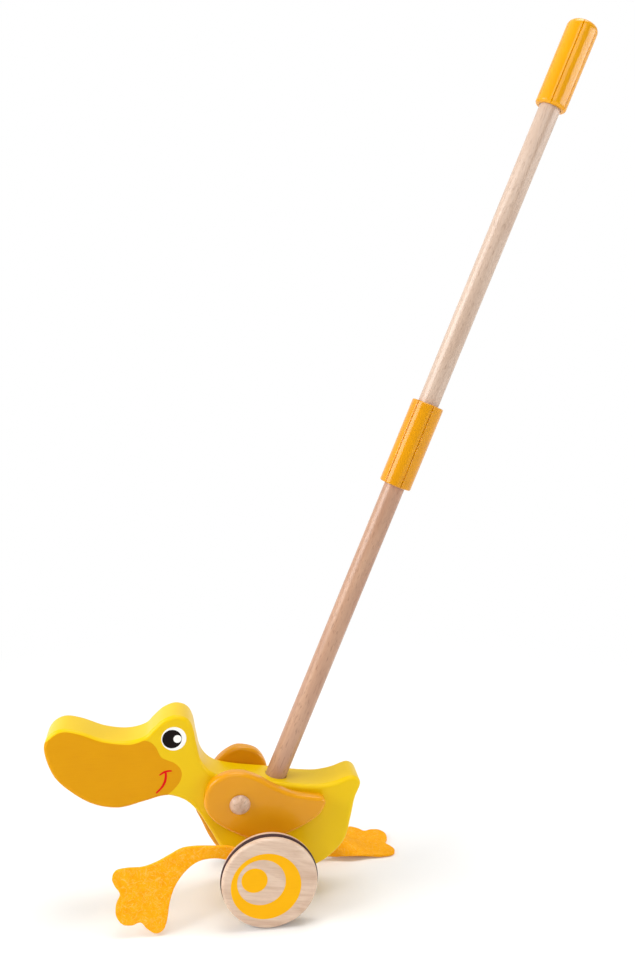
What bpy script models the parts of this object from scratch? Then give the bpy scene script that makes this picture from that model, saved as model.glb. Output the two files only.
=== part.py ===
"""Duck push toy: a wooden duck on two wheels with felt feet, swinging wings and a two-piece push stick.

Metres, +Z up. The beak points to -X, the tail to +X, and the duck's left side is -Y.
Outlines are drawn in the plane of the board, from the axle's centre or from the wing's pivot.
"""

from math import acos, asin, cos, pi, radians, sin

import bmesh
import bpy
from mathutils import Vector
from mathutils.geometry import interpolate_bezier

# Clearances between pieces
SEAT_GAP = 0.0003        # between glued or plugged pieces
RUNNING_GAP = 0.0003     # between pieces that turn on each other
FLOOR_GAP = 0.0004       # under the foot that lies on the floor
PEG_TO_FELT_GAP = 0.0035  # for a peg's head to pass the felt leg

# Duck board
BOARD_THICKNESS = 0.024
BOARD_EDGE_RADIUS = 0.0025
BOARD_OUTLINE = [
    (-0.1302, 0.0774), (-0.1276, 0.0864), (-0.1199, 0.0909), (-0.1097, 0.0890), (-0.0960, 0.0833),
    (-0.0825, 0.0811), (-0.0718, 0.0833), (-0.0666, 0.0880), (-0.0606, 0.0931), (-0.0531, 0.0956),
    (-0.0463, 0.0932), (-0.0427, 0.0870), (-0.0408, 0.0765), (-0.0380, 0.0652), (-0.0310, 0.0574),
    (-0.0180, 0.0534), (0.0000, 0.0506), (0.0150, 0.0477), (0.0280, 0.0459), (0.0360, 0.0457),
    (0.0445, 0.0471), (0.0545, 0.0499), (0.0597, 0.0448), (0.0562, 0.0346), (0.0536, 0.0220),
    (0.0500, 0.0080), (0.0412, -0.0020), (0.0320, -0.0076), (0.0180, -0.0122), (0.0020, -0.0122),
    (-0.0140, -0.0060), (-0.0268, 0.0075), (-0.0333, 0.0192), (-0.0402, 0.0315), (-0.0467, 0.0394),
    (-0.0540, 0.0436), (-0.0613, 0.0448), (-0.0728, 0.0421), (-0.0875, 0.0390), (-0.1018, 0.0419),
    (-0.1143, 0.0498), (-0.1251, 0.0614),
]

# Wheels, tyres and axle
WHEEL_RADIUS = 0.0285
WHEEL_THICKNESS = 0.010
WHEEL_EDGE_RADIUS = 0.002
WHEEL_FACE_WALL = 0.003      # wood left outside the blind bore for the axle
TYRE_SECTION = 0.0032        # diameter of the rubber ring's section
TYRE_PROUD = 0.0007          # how far the ring stands out of the wheel
AXLE_DIAMETER = 0.006
SPACER_RADIUS = 0.0138
SPACER_EDGE_RADIUS = 0.0015

# Wings and their pegs
WING_THICKNESS = 0.008
WING_EDGE_RADIUS = 0.0025
WING_PIVOT = (-0.0159, 0.0409)   # from the axle's centre
WING_OUTLINE = [
    (-0.0214, 0.0025), (-0.0180, 0.0128), (-0.0090, 0.0188), (0.0015, 0.0194), (0.0115, 0.0154),
    (0.0210, 0.0094), (0.0330, 0.0038), (0.0440, 0.0014), (0.0507, -0.0002), (0.0522, -0.0046),
    (0.0478, -0.0114), (0.0380, -0.0178), (0.0280, -0.0222), (0.0210, -0.0255), (0.0150, -0.0268),
    (0.0085, -0.0252), (0.0020, -0.0219), (-0.0070, -0.0170), (-0.0145, -0.0116), (-0.0196, -0.0048),
]
PEG_SHANK_DIAMETER = 0.007
PEG_HEAD_DIAMETER = 0.0125
PEG_HEAD_HEIGHT = 0.0046
PEG_DEPTH = 0.008            # shank length inside the board
PEG_CHAMFER = 0.0006
SWING_TO_BACK = (radians(-60), radians(30))     # from a clear turn to one on the spacer
SWING_TO_FRONT = (radians(150), radians(60))

# Felt feet, drawn flat from the axle's centre: first along the leg, then across it
FELT_THICKNESS = 0.002
FOOT_OUTLINE = [
    (0.0022, 0.0094), (-0.0052, 0.0081), (-0.0094, 0.0018), (-0.0078, -0.0055), (-0.0015, -0.0095),
    (0.0060, -0.0074), (0.0120, 0.0010), (0.0195, 0.0085), (0.0275, 0.0124), (0.0360, 0.0131),
    (0.0430, 0.0112), (0.0500, 0.0056), (0.0555, -0.0020), (0.0586, -0.0104), (0.0603, -0.0201),
    (0.0626, -0.0262), (0.0672, -0.0281), (0.0722, -0.0249), (0.0758, -0.0210), (0.0808, -0.0222),
    (0.0862, -0.0212), (0.0897, -0.0161), (0.0898, -0.0097), (0.0874, -0.0034), (0.0902, 0.0015),
    (0.0917, 0.0061), (0.0894, 0.0103), (0.0830, 0.0114), (0.0740, 0.0113), (0.0660, 0.0135),
    (0.0580, 0.0174), (0.0510, 0.0208), (0.0430, 0.0215), (0.0320, 0.0207), (0.0220, 0.0196),
    (0.0110, 0.0148),
]
LEG_LINE = 0.016             # height of the leg's middle line above the axle
LEG_LINE_FALL = 0.28         # slope of that line beyond the start of the bend
BEND_BEYOND_TYRE = 0.0108    # where the felt starts to turn
BEND_LENGTH = 0.050
BEND_SLANT = 0.8             # the felt's toe side turns before its upper edge
BEND_STEPS = 10
LEFT_LEG_TURN = radians(0.0)
LEFT_FOOT_FOLD = radians(9.0)     # the left foot hangs and splays a little
RIGHT_LEG_TURN = radians(6.5)     # the right leg is pressed down to the floor
RIGHT_FOOT_FOLD = radians(90.0)   # the right foot lies flat
RIGHT_FOOT_REACH = 0.0375         # distance of the flat foot's datum from the middle of the board

# Push stick
STICK_DIAMETER = 0.0128
STICK_LEAN = radians(22.1)
STICK_ENTRY = (0.0079, 0.0488)    # where the stick's axis leaves the duck's back
STICK_SOCKET_DEPTH = 0.030
LOWER_STICK_SHOWN = 0.1954
UPPER_STICK_SHOWN = 0.1853
STICK_CHAMFER = 0.001
SLEEVE_DIAMETER = 0.0196
SLEEVE_LENGTH = 0.0528
SLEEVE_WEB = 0.003           # wall between the two sockets
SLEEVE_EDGE_RADIUS = 0.0008
GRIP_DIAMETER = 0.0188
GRIP_LENGTH = 0.0507
GRIP_TOP_WALL = 0.006
GRIP_SHOULDER_RADIUS = 0.004
GRIP_LIP_RADIUS = 0.0015
FLUTE_COUNT = 6
FLUTE_WIDTH = 0.0011
FLUTE_DEPTH = 0.0006
SLEEVE_FLUTE_TURN = radians(7.5)
GRIP_FLUTE_TURN = radians(-20.0)

# Facets
CURVE_STEPS = 3              # points on each span of a drawn outline
ROUND_STEPS = 3              # facets across a rounded edge
DISC_SEGMENTS = 48
ROD_SEGMENTS = 32
PEG_SEGMENTS = 24
TYRE_STEPS = 8
FLUTE_ARC_STEPS = 5
DOME_STEPS = 6
SHARP_ANGLE = radians(35)
MERGE_DISTANCE = 0.000001
TURN_STEP = radians(0.0001)

# Places that follow from the sizes above
TYRE_RADIUS = WHEEL_RADIUS + TYRE_PROUD
WING_INNER = BOARD_THICKNESS / 2 + RUNNING_GAP
WING_OUTER = WING_INNER + WING_THICKNESS
FELT_INNER = WING_OUTER + RUNNING_GAP + PEG_HEAD_HEIGHT + PEG_TO_FELT_GAP
FELT_MIDDLE = FELT_INNER + FELT_THICKNESS / 2
WHEEL_INNER = FELT_INNER + FELT_THICKNESS + SEAT_GAP
WHEEL_OUTER = WHEEL_INNER + WHEEL_THICKNESS
AXLE_BORE_RADIUS = AXLE_DIAMETER / 2 + RUNNING_GAP
AXLE_SEAT_RADIUS = AXLE_DIAMETER / 2 + SEAT_GAP
STICK_BORE_RADIUS = STICK_DIAMETER / 2 + SEAT_GAP


def clear_scene():
    for old in list(bpy.data.objects):
        bpy.data.objects.remove(old, do_unlink=True)


def material(name, colour, roughness, metallic=0.0):
    made = bpy.data.materials.new(name)
    made.use_nodes = True
    shader = made.node_tree.nodes["Principled BSDF"]
    shader.inputs["Base Color"].default_value = (*colour, 1.0)
    shader.inputs["Roughness"].default_value = roughness
    shader.inputs["Metallic"].default_value = metallic
    return made


def empty(name, parent=None, location=(0, 0, 0), rotation=(0, 0, 0)):
    made = bpy.data.objects.new(name, None)
    bpy.context.collection.objects.link(made)
    made.parent = parent
    made.location = location
    made.rotation_euler = rotation
    return made


def finished(name, bm, finish, parent, location=(0, 0, 0), rotation=(0, 0, 0), smooth=True):
    """Turns a bmesh into a named object with its faces pointing out."""
    bmesh.ops.recalc_face_normals(bm, faces=bm.faces[:])
    mesh = bpy.data.meshes.new(name)
    bm.to_mesh(mesh)
    bm.free()
    if smooth:
        mesh.shade_smooth()
        mesh.set_sharp_from_angle(angle=SHARP_ANGLE)
    mesh.materials.append(finish)
    made = bpy.data.objects.new(name, mesh)
    bpy.context.collection.objects.link(made)
    made.parent = parent
    made.location = location
    made.rotation_euler = rotation
    return made


def closed_curve(points):
    """A smooth closed curve through the drawn points, with each handle along its neighbours' chord."""
    knots = [Vector(point) for point in points]
    count = len(knots)
    outline = []
    for i, knot in enumerate(knots):
        after = knots[(i + 1) % count]
        handle = knot + (after - knots[i - 1]) / 6
        next_handle = after - (knots[(i + 2) % count] - knot) / 6
        outline += interpolate_bezier(knot, handle, next_handle, after, CURVE_STEPS + 1)[:-1]
    return outline


def sawn(outline, middle, thickness):
    """A flat sheet cut to an outline in the XZ plane."""
    bm = bmesh.new()
    start = middle - thickness / 2
    face = bm.faces.new([bm.verts.new((p.x, start, p.y)) for p in outline])
    grown = bmesh.ops.extrude_face_region(bm, geom=[face])["geom"]
    lifted = [item for item in grown if isinstance(item, bmesh.types.BMVert)]
    bmesh.ops.translate(bm, verts=lifted, vec=(0, thickness, 0))
    return bm


def rounded_board(outline, middle, thickness, edge_radius):
    """A sawn board with both rims rounded over."""
    bm = sawn(outline, middle, thickness)
    sides = [face for face in bm.faces if len(face.verts) == len(outline)]
    rims = [edge for side in sides for edge in side.edges]
    bmesh.ops.bevel(
        bm, geom=rims, offset=edge_radius, offset_type="OFFSET",
        segments=ROUND_STEPS, profile=0.5, affect="EDGES",
    )
    return bm


def turned(profile, segments, ring=False):
    """Spins a profile of (height, radius) about the Z axis. A ring's profile closes on itself."""
    bm = bmesh.new()
    verts = [bm.verts.new((radius, 0, height)) for height, radius in profile]
    ends = verts[1:] + verts[:1] if ring else verts[1:]
    edges = [bm.edges.new(pair) for pair in zip(verts, ends)]
    bmesh.ops.spin(
        bm, geom=verts + edges, cent=(0, 0, 0), axis=(0, 0, 1),
        angle=2 * pi, steps=segments, use_merge=True,
    )
    bmesh.ops.remove_doubles(bm, verts=bm.verts[:], dist=MERGE_DISTANCE)
    return bm


def fluted_angles(radius, first_flute):
    """Angles round a fluted bar, each with its share of the flute's depth."""
    half = asin(FLUTE_WIDTH / 2 / radius)
    pitch = 2 * pi / FLUTE_COUNT
    arc_step = (pitch - 2 * half) / (FLUTE_ARC_STEPS + 1)
    angles = []
    for flute in range(FLUTE_COUNT):
        centre = first_flute + flute * pitch
        angles += [(centre - half, 0.0), (centre, 1.0), (centre + half, 0.0)]
        angles += [(centre + half + arc_step * k, 0.0) for k in range(1, FLUTE_ARC_STEPS + 1)]
    return angles


def fluted_bar(stations, radius, first_flute):
    """A bar with lengthwise flutes, lofted through rings at (height, radius)."""
    bm = bmesh.new()
    angles = fluted_angles(radius, first_flute)
    rings = []
    for height, ring_radius in stations:
        verts = []
        for angle, share in angles:
            reach = ring_radius - FLUTE_DEPTH * share
            verts.append(bm.verts.new((reach * cos(angle), reach * sin(angle), height)))
        rings.append([bm.edges.new(pair) for pair in zip(verts, verts[1:] + verts[:1])])
    for lower, upper in zip(rings, rings[1:]):
        bmesh.ops.bridge_loops(bm, edges=lower + upper)
    for end in (rings[0], rings[-1]):
        bmesh.ops.contextual_create(bm, geom=end)
    return bm


def rounded_corner(height, radius, size, rising):
    """A quarter round on a turned rim. It runs outwards and up when rising, else inwards and up."""
    corner = []
    for step in range(ROUND_STEPS + 1):
        turn = pi / 2 * step / ROUND_STEPS
        if rising:
            corner.append((height + size * (1 - cos(turn)), radius - size * (1 - sin(turn))))
        else:
            corner.append((height - size * (1 - sin(turn)), radius - size * (1 - cos(turn))))
    return corner


def bore(target, name, radius, start, end, segments=ROD_SEGMENTS):
    """Cuts a round hole between two points given in the target's own frame."""
    start = Vector(start)
    end = Vector(end)
    length = (end - start).length
    bm = turned([(0, 0), (0, radius), (length, radius), (length, 0)], segments)
    cutter = finished(name, bm, target.data.materials[0], target, start)
    cutter.rotation_mode = "QUATERNION"
    cutter.rotation_quaternion = (end - start).to_track_quat("Z", "Y")
    cutter.hide_render = True
    cutter.display_type = "WIRE"
    cut = target.modifiers.new(name, "BOOLEAN")
    cut.operation = "DIFFERENCE"
    cut.solver = "EXACT"
    cut.object = cutter


def make_board(parent, finish):
    board_plate = rounded_board(closed_curve(BOARD_OUTLINE), 0, BOARD_THICKNESS, BOARD_EDGE_RADIUS)
    board = finished("duck_body", board_plate, finish, parent)
    bore(board, "axle_bore", AXLE_BORE_RADIUS, (0, -BOARD_THICKNESS, 0), (0, BOARD_THICKNESS, 0))

    peg_floor = BOARD_THICKNESS / 2 - PEG_DEPTH - SEAT_GAP
    peg_bore_radius = PEG_SHANK_DIAMETER / 2 + SEAT_GAP
    for name, outward in (("left_peg_bore", -1), ("right_peg_bore", 1)):
        inside = (WING_PIVOT[0], outward * peg_floor, WING_PIVOT[1])
        outside = (WING_PIVOT[0], outward * BOARD_THICKNESS, WING_PIVOT[1])
        bore(board, name, peg_bore_radius, inside, outside)

    mouth = Vector((STICK_ENTRY[0], 0, STICK_ENTRY[1]))
    along_stick = Vector((sin(STICK_LEAN), 0, cos(STICK_LEAN)))
    floor = mouth - along_stick * (STICK_SOCKET_DEPTH + SEAT_GAP)
    above = mouth + along_stick * STICK_DIAMETER
    bore(board, "stick_socket", STICK_BORE_RADIUS, floor, above)


def distance_to_axle(outline, turn):
    """Least distance from the axle's centre to a wing turned about its pivot."""
    x, z = -WING_PIVOT[0], -WING_PIVOT[1]
    seen = Vector((x * cos(turn) - z * sin(turn), x * sin(turn) + z * cos(turn)))
    least = float("inf")
    for start, end in zip(outline, outline[1:] + outline[:1]):
        span = end - start
        share = max(0.0, min(1.0, (seen - start).dot(span) / span.length_squared))
        least = min(least, (start + span * share - seen).length)
    return least


def resting_turn(outline, clear, touching):
    """The turn at which a wing, swung from a clear angle, comes to rest on the axle's spacer."""
    while abs(clear - touching) > TURN_STEP:
        middle = (clear + touching) / 2
        if distance_to_axle(outline, middle) > SPACER_RADIUS + RUNNING_GAP:
            clear = middle
        else:
            touching = middle
    return clear


def peg_profile():
    shank = PEG_SHANK_DIAMETER / 2
    head = PEG_HEAD_DIAMETER / 2
    seat = WING_OUTER + RUNNING_GAP
    shank_end = BOARD_THICKNESS / 2 - PEG_DEPTH
    dome_radius = (head ** 2 + PEG_HEAD_HEIGHT ** 2) / (2 * PEG_HEAD_HEIGHT)
    dome_half_angle = acos(1 - PEG_HEAD_HEIGHT / dome_radius)
    dome = []
    for step in range(1, DOME_STEPS):
        turn = dome_half_angle * (1 - step / DOME_STEPS)
        dome.append((seat + PEG_HEAD_HEIGHT - dome_radius * (1 - cos(turn)), dome_radius * sin(turn)))
    return [
        (shank_end, 0), (shank_end, shank - PEG_CHAMFER), (shank_end + PEG_CHAMFER, shank),
        (seat, shank), (seat, head), *dome, (seat + PEG_HEAD_HEIGHT, 0),
    ]


def make_wings(parent, wing_finish, peg_finish):
    outline = closed_curve(WING_OUTLINE)
    pivot = (WING_PIVOT[0], 0, WING_PIVOT[1])
    hole_radius = PEG_SHANK_DIAMETER / 2 + RUNNING_GAP
    wings = (
        ("left", -1, resting_turn(outline, *SWING_TO_BACK)),
        ("right", 1, resting_turn(outline, *SWING_TO_FRONT)),
    )
    for side, outward, turn in wings:
        middle = outward * (WING_INNER + WING_OUTER) / 2
        plate = rounded_board(outline, middle, WING_THICKNESS, WING_EDGE_RADIUS)
        wing = finished(side + "_wing", plate, wing_finish, parent, pivot, (0, turn, 0))
        beyond = (0, 2 * outward * WING_OUTER, 0)
        bore(wing, side + "_wing_hole", hole_radius, (0, 0, 0), beyond, PEG_SEGMENTS)
        peg = turned(peg_profile(), PEG_SEGMENTS)
        finished(side + "_wing_peg", peg, peg_finish, parent, pivot, (-outward * pi / 2, 0, 0))


def wheel_profile():
    groove_half = TYRE_SECTION / 2 + SEAT_GAP
    groove_floor = TYRE_RADIUS - TYRE_SECTION - SEAT_GAP
    middle = (WHEEL_INNER + WHEEL_OUTER) / 2
    bore_floor = WHEEL_OUTER - WHEEL_FACE_WALL
    return [
        (bore_floor, 0), (bore_floor, AXLE_SEAT_RADIUS), (WHEEL_INNER, AXLE_SEAT_RADIUS),
        *rounded_corner(WHEEL_INNER, WHEEL_RADIUS, WHEEL_EDGE_RADIUS, True),
        (middle - groove_half, WHEEL_RADIUS), (middle - groove_half, groove_floor),
        (middle + groove_half, groove_floor), (middle + groove_half, WHEEL_RADIUS),
        *rounded_corner(WHEEL_OUTER, WHEEL_RADIUS, WHEEL_EDGE_RADIUS, False),
        (WHEEL_OUTER, 0),
    ]


def tyre_profile():
    middle = (WHEEL_INNER + WHEEL_OUTER) / 2
    half = TYRE_SECTION / 2
    section = []
    for step in range(TYRE_STEPS):
        turn = 2 * pi * step / TYRE_STEPS
        section.append((middle + half * sin(turn), TYRE_RADIUS - half * (1 - cos(turn))))
    return section


def spacer_profile():
    outer = FELT_INNER - SEAT_GAP
    return [
        (outer, AXLE_SEAT_RADIUS), (WING_INNER, AXLE_SEAT_RADIUS),
        *rounded_corner(WING_INNER, SPACER_RADIUS, SPACER_EDGE_RADIUS, True),
        *rounded_corner(outer, SPACER_RADIUS, SPACER_EDGE_RADIUS, False),
    ]


def make_wheel_set(parent, wood, rubber, steel):
    half = WHEEL_OUTER - WHEEL_FACE_WALL - SEAT_GAP
    radius = AXLE_DIAMETER / 2
    rod = turned([(-half, 0), (-half, radius), (half, radius), (half, 0)], PEG_SEGMENTS)
    finished("axle", rod, steel, parent, rotation=(pi / 2, 0, 0))
    for side, outward in (("left", -1), ("right", 1)):
        outwards = (-outward * pi / 2, 0, 0)
        wheel = turned(wheel_profile(), DISC_SEGMENTS)
        finished(side + "_wheel", wheel, wood, parent, rotation=outwards)
        tyre = turned(tyre_profile(), DISC_SEGMENTS, ring=True)
        finished(side + "_tyre", tyre, rubber, parent, rotation=outwards)
        spacer = turned(spacer_profile(), ROD_SEGMENTS, ring=True)
        finished(side + "_spacer", spacer, wood, parent, rotation=outwards)


def ease(share):
    share = max(0.0, min(1.0, share))
    return share ** 2 * (3 - 2 * share)


def felt_foot(outline, leg_turn, fold, fold_place, fold_level):
    """A felt leg and foot: flat at the wheel, then turned along its leg until the foot lies at the fold.

    The result is in (along the leg, outwards, across it), from the axle's centre.
    """
    bm = sawn(outline, 0, FELT_THICKNESS)
    bend_start = TYRE_RADIUS + BEND_BEYOND_TYRE
    for step in range(BEND_STEPS + 1):
        crease = (bend_start + BEND_LENGTH * step / BEND_STEPS, 0, LEG_LINE)
        everything = bm.verts[:] + bm.edges[:] + bm.faces[:]
        bmesh.ops.bisect_plane(
            bm, geom=everything, dist=MERGE_DISTANCE, plane_co=crease, plane_no=(1, 0, -BEND_SLANT),
        )
    bmesh.ops.triangulate(bm, faces=bm.faces[:])
    for vert in bm.verts:
        along, through, height = vert.co
        share = ease((along + BEND_SLANT * (LEG_LINE - height) - bend_start) / BEND_LENGTH)
        turn = fold * share
        lean = leg_turn * (1 - share)
        line = LEG_LINE - LEG_LINE_FALL * max(0.0, along - bend_start)
        hung = Vector((
            along * cos(leg_turn) - line * sin(leg_turn),
            FELT_MIDDLE,
            along * sin(leg_turn) + line * cos(leg_turn),
        ))
        laid = Vector((
            along,
            fold_place + (LEG_LINE - line) * sin(fold),
            fold_level + (line - LEG_LINE) * cos(fold),
        ))
        across = Vector((-sin(lean), -sin(turn), cos(turn) * cos(lean)))
        outwards = Vector((0, cos(turn), sin(turn)))
        vert.co = hung.lerp(laid, share) + across * (height - line) + outwards * through
    return bm


def make_feet(parent, finish):
    outline = closed_curve(FOOT_OUTLINE)
    floor_level = TYRE_RADIUS - FELT_THICKNESS / 2 - FLOOR_GAP
    poses = (
        ("left_foot", -1, LEFT_LEG_TURN, LEFT_FOOT_FOLD, FELT_MIDDLE, LEG_LINE),
        ("right_foot", 1, RIGHT_LEG_TURN, RIGHT_FOOT_FOLD, RIGHT_FOOT_REACH - LEG_LINE, floor_level),
    )
    for name, outward, leg_turn, fold, fold_place, fold_level in poses:
        bm = felt_foot(outline, leg_turn, fold, fold_place, fold_level)
        bmesh.ops.scale(bm, verts=bm.verts[:], vec=(outward, outward, -outward))
        foot = finished(name, bm, finish, parent, smooth=False)
        reach = (0, outward * 2 * FELT_INNER, 0)
        bore(foot, name + "_hole", AXLE_SEAT_RADIUS, (0, 0, 0), reach, PEG_SEGMENTS)


def rod_profile(start, end):
    radius = STICK_DIAMETER / 2
    return [
        (start, 0), (start, radius - STICK_CHAMFER), (start + STICK_CHAMFER, radius),
        (end - STICK_CHAMFER, radius), (end, radius - STICK_CHAMFER), (end, 0),
    ]


def make_stick(parent, wood, plastic):
    sleeve_start = LOWER_STICK_SHOWN
    sleeve_end = sleeve_start + SLEEVE_LENGTH
    lower_seat = (sleeve_start + sleeve_end - SLEEVE_WEB) / 2
    upper_seat = lower_seat + SLEEVE_WEB
    grip_start = sleeve_end + UPPER_STICK_SHOWN
    grip_end = grip_start + GRIP_LENGTH
    grip_seat = grip_end - GRIP_TOP_WALL

    lower = turned(rod_profile(-STICK_SOCKET_DEPTH, lower_seat - SEAT_GAP), ROD_SEGMENTS)
    finished("lower_stick", lower, wood, parent)
    upper = turned(rod_profile(upper_seat + SEAT_GAP, grip_seat - SEAT_GAP), ROD_SEGMENTS)
    finished("upper_stick", upper, wood, parent)

    sleeve_radius = SLEEVE_DIAMETER / 2
    sleeve_stations = [
        *rounded_corner(sleeve_start, sleeve_radius, SLEEVE_EDGE_RADIUS, True),
        *rounded_corner(sleeve_end, sleeve_radius, SLEEVE_EDGE_RADIUS, False),
    ]
    bar = fluted_bar(sleeve_stations, sleeve_radius, SLEEVE_FLUTE_TURN - pi / 2)
    sleeve = finished("stick_sleeve", bar, plastic, parent)
    below = (0, 0, sleeve_start - SLEEVE_LENGTH)
    above = (0, 0, sleeve_end + SLEEVE_LENGTH)
    bore(sleeve, "sleeve_lower_socket", STICK_BORE_RADIUS, below, (0, 0, lower_seat))
    bore(sleeve, "sleeve_upper_socket", STICK_BORE_RADIUS, (0, 0, upper_seat), above)

    grip_radius = GRIP_DIAMETER / 2
    grip_stations = [
        *rounded_corner(grip_start, grip_radius, GRIP_LIP_RADIUS, True),
        *rounded_corner(grip_end, grip_radius, GRIP_SHOULDER_RADIUS, False),
    ]
    bar = fluted_bar(grip_stations, grip_radius, GRIP_FLUTE_TURN - pi / 2)
    grip = finished("grip_cap", bar, plastic, parent)
    below = (0, 0, grip_start - GRIP_LENGTH)
    bore(grip, "grip_socket", STICK_BORE_RADIUS, below, (0, 0, grip_seat))


def stand_on_origin(toy):
    """Puts the toy's lowest level at z = 0 and the middle of its outer box over the origin."""
    bpy.context.view_layer.update()
    depsgraph = bpy.context.evaluated_depsgraph_get()
    corners = []
    for piece in bpy.data.objects:
        if piece.type == "MESH" and not piece.hide_render:
            shape = piece.evaluated_get(depsgraph)
            corners += [shape.matrix_world @ vert.co for vert in shape.data.vertices]
    low = Vector([min(c[k] for c in corners) for k in range(3)])
    high = Vector([max(c[k] for c in corners) for k in range(3)])
    toy.location = (-(low.x + high.x) / 2, -(low.y + high.y) / 2, -low.z)


def main():
    clear_scene()
    yellow_paint = material("yellow_painted_wood", (0.80, 0.55, 0.0), 0.35)
    orange_paint = material("orange_painted_wood", (0.69, 0.32, 0.01), 0.35)
    beech = material("beech", (0.68, 0.46, 0.30), 0.55)
    rubber = material("black_rubber", (0.04, 0.03, 0.03), 0.6)
    steel = material("axle_steel", (0.6, 0.6, 0.6), 0.35, 1.0)
    felt = material("orange_felt", (1.0, 0.45, 0.0), 0.95)
    plastic = material("orange_plastic", (0.92, 0.40, 0.0), 0.25)

    toy = empty("toy")
    wheel_set = empty("wheel_set", toy)
    stick = empty("push_stick", toy, (STICK_ENTRY[0], 0, STICK_ENTRY[1]), (0, STICK_LEAN, 0))
    make_board(toy, yellow_paint)
    make_wings(toy, orange_paint, beech)
    make_wheel_set(wheel_set, beech, rubber, steel)
    make_feet(wheel_set, felt)
    make_stick(stick, beech, plastic)
    stand_on_origin(toy)


main()
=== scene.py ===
import math

import bmesh
import bpy
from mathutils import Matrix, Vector


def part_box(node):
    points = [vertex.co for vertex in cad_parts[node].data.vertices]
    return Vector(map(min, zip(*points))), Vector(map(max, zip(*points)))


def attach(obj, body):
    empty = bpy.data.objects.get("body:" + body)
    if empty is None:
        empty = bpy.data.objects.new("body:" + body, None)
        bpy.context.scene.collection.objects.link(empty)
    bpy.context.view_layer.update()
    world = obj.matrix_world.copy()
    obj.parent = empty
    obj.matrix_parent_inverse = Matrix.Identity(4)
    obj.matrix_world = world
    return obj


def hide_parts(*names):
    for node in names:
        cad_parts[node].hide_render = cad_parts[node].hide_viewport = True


# every size is in metres, in the CAD's frame
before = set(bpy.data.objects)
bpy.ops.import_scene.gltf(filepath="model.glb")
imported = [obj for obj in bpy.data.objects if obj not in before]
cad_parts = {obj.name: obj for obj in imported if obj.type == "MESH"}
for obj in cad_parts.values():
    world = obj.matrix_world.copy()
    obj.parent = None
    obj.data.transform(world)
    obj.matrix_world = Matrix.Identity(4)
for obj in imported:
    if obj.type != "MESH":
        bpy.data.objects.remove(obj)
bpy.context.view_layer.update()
axleLow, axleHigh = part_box("axle")
axle = (axleLow + axleHigh) / 2      # middle of the wheel axle, on the board's middle plane
sides = {"left": -1, "right": 1}     # the way that each side of the duck faces, along Y
mixShare, mixFrom, mixTo, mixResult = 0, 6, 7, 2     # a Mix node's sockets for colours
handlePart = 6                       # a handle is a sixth of the distance between the knots beside it
print("frame loaded, axle at", [round(c, 4) for c in axle])


# an sRGB hex value as a linear colour
def hexColour(text):
    channels = [int(text[i:i + 2], 16) / 255 for i in (1, 3, 5)]
    linear = [c / 12.92 if c <= 0.04045 else ((c + 0.055) / 1.055) ** 2.4 for c in channels]
    return (*linear, 1.0)


# links a node's inputs to other nodes, or sets them
def setInputs(tree, node, inputs):
    for name, value in inputs.items():
        if isinstance(value, bpy.types.NodeSocket):
            tree.links.new(value, node.inputs[name])
        else:
            node.inputs[name].default_value = value


def addNode(tree, kind, inputs=None, **settings):
    made = tree.nodes.new("ShaderNode" + kind)
    for name, value in settings.items():
        setattr(made, name, value)
    setInputs(tree, made, inputs or {})
    return made


def newMaterial(name):
    made = bpy.data.materials.new(name)
    made.use_nodes = True
    return made, made.node_tree, made.node_tree.nodes["Principled BSDF"]


def activate(obj):
    bpy.ops.object.select_all(action="DESELECT")
    obj.select_set(True)
    bpy.context.view_layer.objects.active = obj


def applyModifier(obj, kind, **settings):
    activate(obj)
    made = obj.modifiers.new(kind, kind)
    for name, value in settings.items():
        setattr(made, name, value)
    bpy.ops.object.modifier_apply(modifier=made.name)


def place(obj, location, rotation=(0, 0, 0)):
    activate(obj)
    obj.location = location
    obj.rotation_euler = rotation
    bpy.ops.object.transform_apply(location=True, rotation=True, scale=True)


# selects only the wanted faces or edges, in edit mode
def pick(obj, kind, wanted):
    bpy.ops.mesh.select_mode(type=kind)
    bpy.ops.mesh.select_all(action="DESELECT")
    mesh = bmesh.from_edit_mesh(obj.data)
    for part in mesh.faces if kind == "FACE" else mesh.edges:
        if wanted(part):
            part.select_set(True)
    bmesh.update_edit_mesh(obj.data)


# rings of a rounded edge on a turned piece: outwards and up when rising, else inwards and up
def roundRim(height, radius, size, rising, steps=6):
    rim = []
    for step in range(steps + 1):
        turn = math.pi / 2 * step / steps
        if rising:
            rim.append((height + size * (1 - math.cos(turn)), radius - size * (1 - math.sin(turn))))
        else:
            rim.append((height - size * (1 - math.sin(turn)), radius - size * (1 - math.cos(turn))))
    return rim


# a disc pulled up ring by ring, as on a lathe, along +Z
def turnOnLathe(name, rings, segments):
    bpy.ops.object.select_all(action="DESELECT")
    firstHeight, firstRadius = rings[0]
    bpy.ops.mesh.primitive_circle_add(vertices=segments, radius=firstRadius, fill_type="NGON")
    obj = bpy.context.object
    obj.name = obj.data.name = name
    bpy.ops.object.mode_set(mode="EDIT")
    bpy.ops.mesh.select_all(action="SELECT")
    bpy.ops.transform.translate(value=(0, 0, firstHeight))
    for (below, before), (height, radius) in zip(rings, rings[1:]):
        step = {"value": (0, 0, height - below), "orient_type": "GLOBAL"}
        bpy.ops.mesh.extrude_region_move(TRANSFORM_OT_translate=step)
        grow = radius / before
        bpy.ops.transform.resize(value=(grow, grow, 1), center_override=(0, 0, height))
    bpy.ops.mesh.select_all(action="SELECT")
    bpy.ops.mesh.normals_make_consistent(inside=False)
    bpy.ops.object.mode_set(mode="OBJECT")
    return obj


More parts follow.
